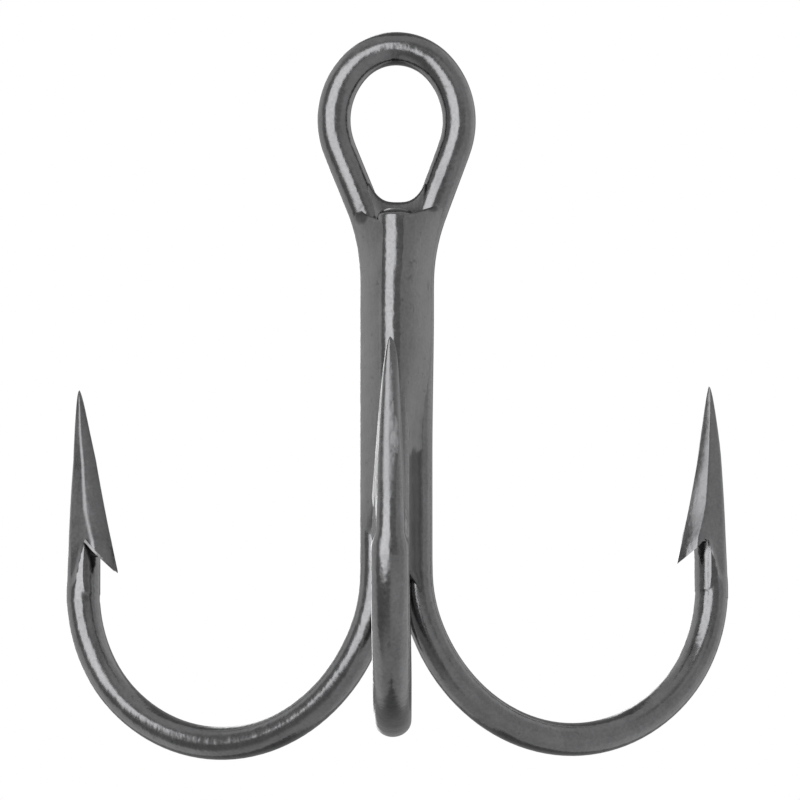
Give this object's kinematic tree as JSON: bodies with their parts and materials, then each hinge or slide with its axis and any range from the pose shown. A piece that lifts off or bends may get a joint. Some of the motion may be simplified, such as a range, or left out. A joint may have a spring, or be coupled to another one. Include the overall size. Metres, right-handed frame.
{
  "type": "treble fishing hook",
  "caption": "Treble fishing hook: barbed round-bend hooks on one brazed shank under a teardrop eye, in black-nickel plated steel.",
  "frame": {"origin": "centre of the eye, in the plane of the eye's wire", "axes": "+Z along the shank towards the eye, +Y through the eye's opening, away from the third hook; +X across the eye"},
  "size_m": [0.0389, 0.0341, 0.0422],
  "materials": {
    "double_hook_wire": "black-nickel plated high-carbon steel wire, polished",
    "single_hook_wire": "black-nickel plated high-carbon steel wire, polished",
    "braze_bead_left": "brazing alloy under black-nickel plating, satin",
    "braze_bead_right": "brazing alloy under black-nickel plating, satin",
    "braze_seam_rear": "brazing alloy under black-nickel plating, satin",
    "braze_throat_web": "brazing alloy under black-nickel plating, satin"
  },
  "bodies": {
    "root": {"double_hook_wire": "double_hook_wire", "single_hook_wire": "single_hook_wire", "braze_bead_left": "braze_bead_left", "braze_bead_right": "braze_bead_right", "braze_seam_rear": "braze_seam_rear", "braze_throat_web": "braze_throat_web"}
  },
  "joints": []
}
